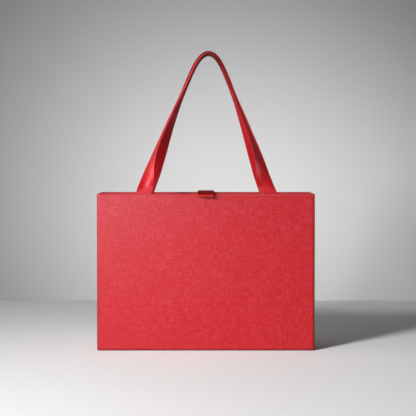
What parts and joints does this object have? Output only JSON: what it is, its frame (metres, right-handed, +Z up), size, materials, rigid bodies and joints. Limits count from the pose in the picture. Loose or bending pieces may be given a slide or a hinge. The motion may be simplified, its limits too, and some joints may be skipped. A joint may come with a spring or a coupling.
{
  "type": "gift bag",
  "caption": "Rigid red gift bag with twisted satin ribbon handles, a paper-lined open top and a magnetic ribbon closure strap.",
  "frame": {"origin": "centre of the base, on the surface that the bag stands on", "axes": "+X along the front panel to the viewer's right, +Y from the front panel to the back panel, +Z up"},
  "size_m": [0.32, 0.1098, 0.4429],
  "materials": {
    "embossed_wrap": "linen-embossed coated paper, soft sheen",
    "lining_paper": "smooth uncoated paper",
    "satin_ribbon": "double-faced satin",
    "strap_satin": "satin ribbon folded over card",
    "greyboard": "raw recycled board",
    "kraft_tape": "gummed kraft paper",
    "magnet": "nickel plate"
  },
  "bodies": {
    "bag": {"front_board": "greyboard", "back_board": "greyboard", "left_board": "greyboard", "right_board": "greyboard", "base_board": "greyboard", "corner_tape_front_left": "kraft_tape", "corner_tape_front_right": "kraft_tape", "corner_tape_back_left": "kraft_tape", "corner_tape_back_right": "kraft_tape", "outer_wrap": "embossed_wrap", "base_sheet": "embossed_wrap", "lining_front": "lining_paper", "lining_back": "lining_paper", "lining_left": "lining_paper", "lining_right": "lining_paper", "lining_base": "lining_paper", "front_tail_left": "satin_ribbon", "front_tail_right": "satin_ribbon", "back_tail_left": "satin_ribbon", "back_tail_right": "satin_ribbon", "strap_tail": "satin_ribbon", "rim_magnet": "magnet"},
    "front_handle": {"front_handle_ribbon": "satin_ribbon"},
    "back_handle": {"back_handle_ribbon": "satin_ribbon"},
    "closure": {"strap_ribbon": "strap_satin", "tab_stiffener": "greyboard", "tab_magnet": "magnet"}
  },
  "joints": [
    {"name": "front_handle_swing", "type": "hinge", "parent": "bag", "child": "front_handle", "pos_m": [0, -0.048, 0.229], "axis": [1, 0, 0], "range_deg": [0, 165]},
    {"name": "back_handle_swing", "type": "hinge", "parent": "bag", "child": "back_handle", "pos_m": [0, 0.048, 0.229], "axis": [-1, 0, 0], "range_deg": [0, 165]},
    {"name": "closure_flip", "type": "hinge", "parent": "bag", "child": "closure", "pos_m": [0, 0.048, 0.229], "axis": [-1, 0, 0], "range_deg": [0, 175]}
  ]
}
